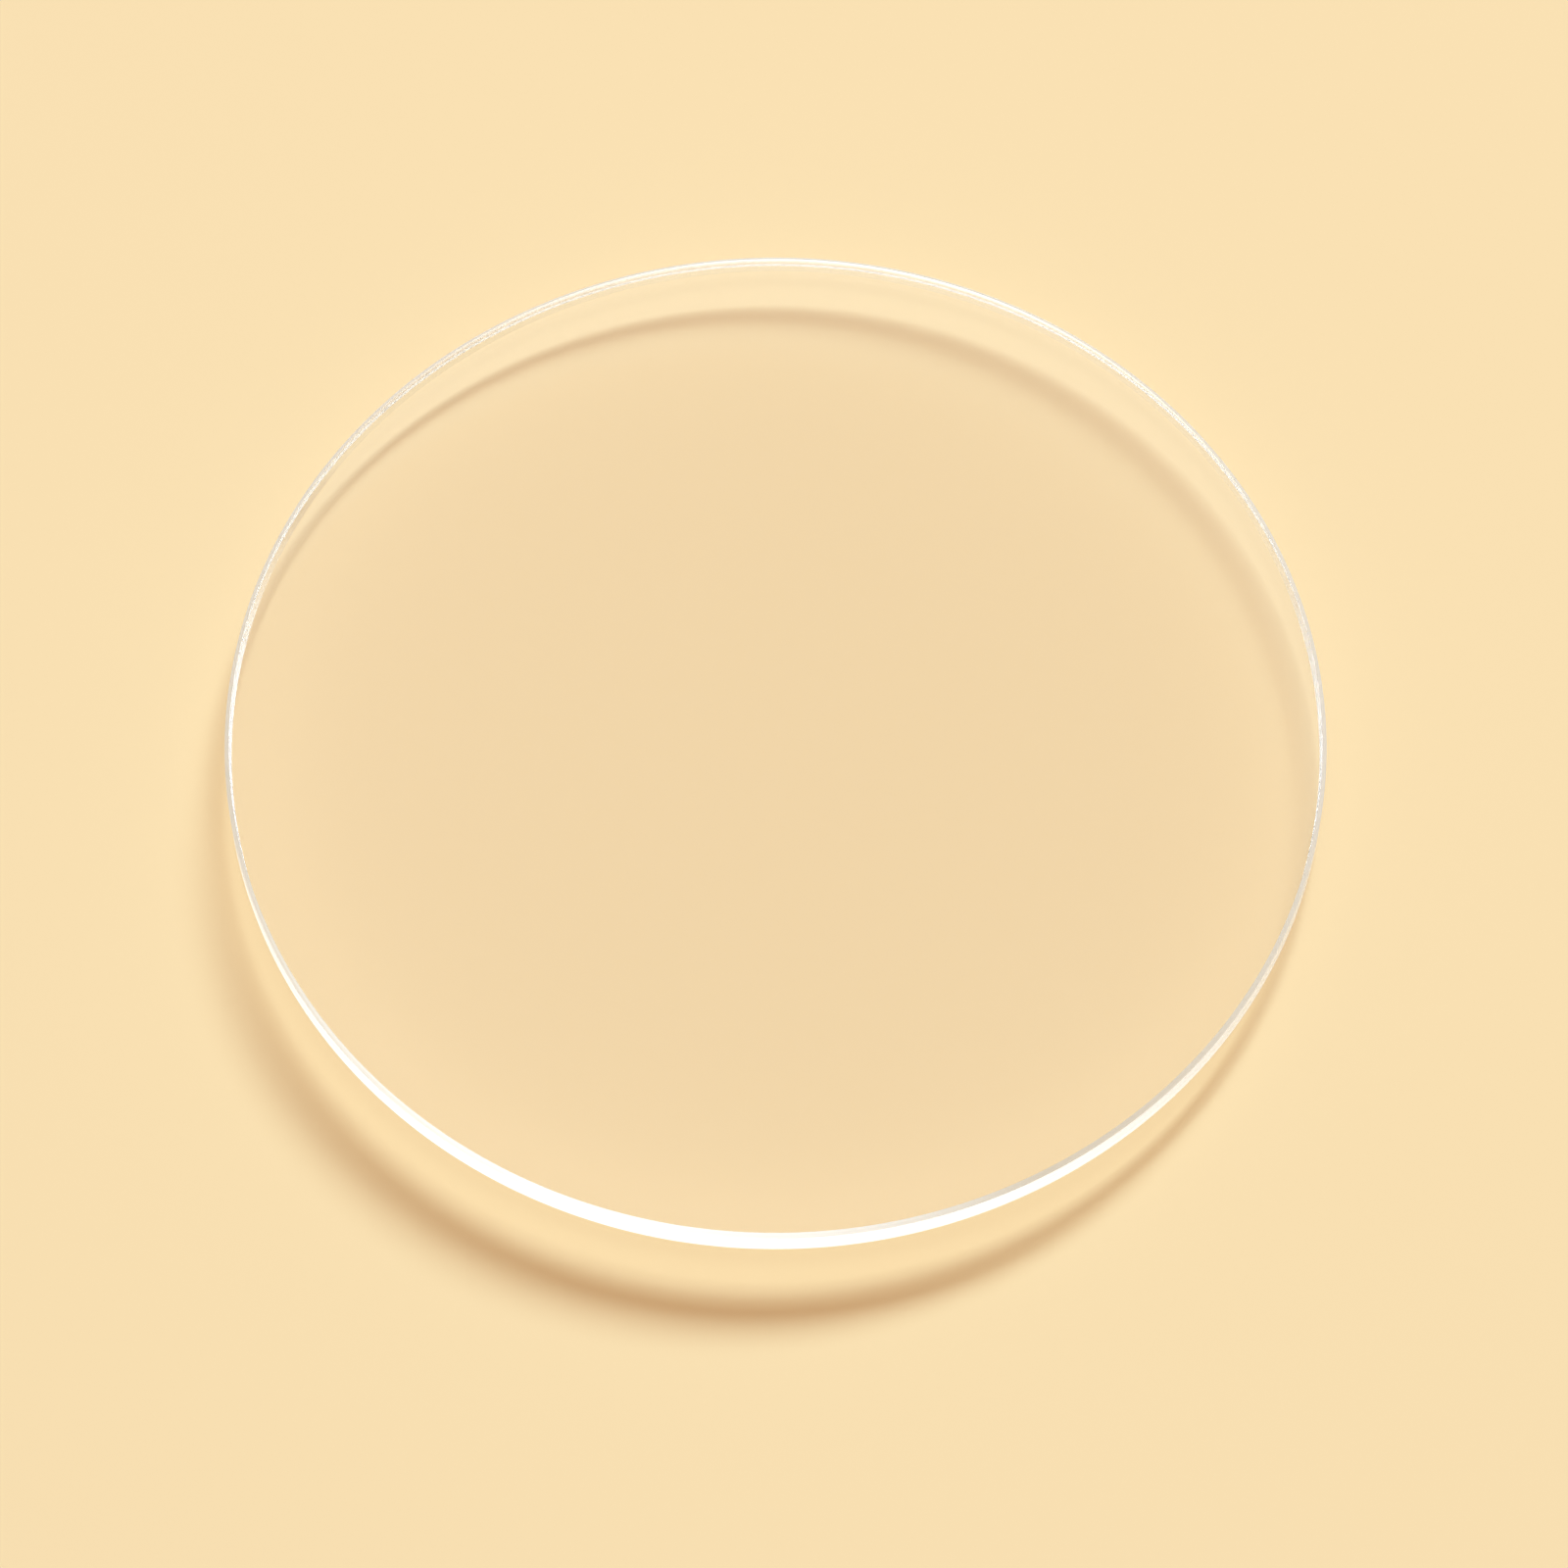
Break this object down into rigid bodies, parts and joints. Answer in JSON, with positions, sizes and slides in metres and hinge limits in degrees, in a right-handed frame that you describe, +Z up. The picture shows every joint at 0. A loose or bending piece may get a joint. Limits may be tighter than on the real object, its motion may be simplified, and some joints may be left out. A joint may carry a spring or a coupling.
{
  "type": "watch crystal",
  "caption": "Round double-domed watch glass of even thickness, with polished faces, a straight ground edge and a small bevel on each rim.",
  "frame": {"origin": "the middle of the outer face, the point it rests on, at the bottom centre of its box", "axes": "+Z up along the disc's axis, out of the dished inner face that looks at the dial; the outer face bulges towards -Z; X and Y are alike, and -Y is the side nearest the picture's viewer"},
  "size_m": [0.038, 0.038, 0.0021],
  "materials": {
    "glass": "clear mineral glass, polished faces, finely ground edge"
  },
  "bodies": {
    "root": {"crystal": "glass"}
  },
  "joints": []
}
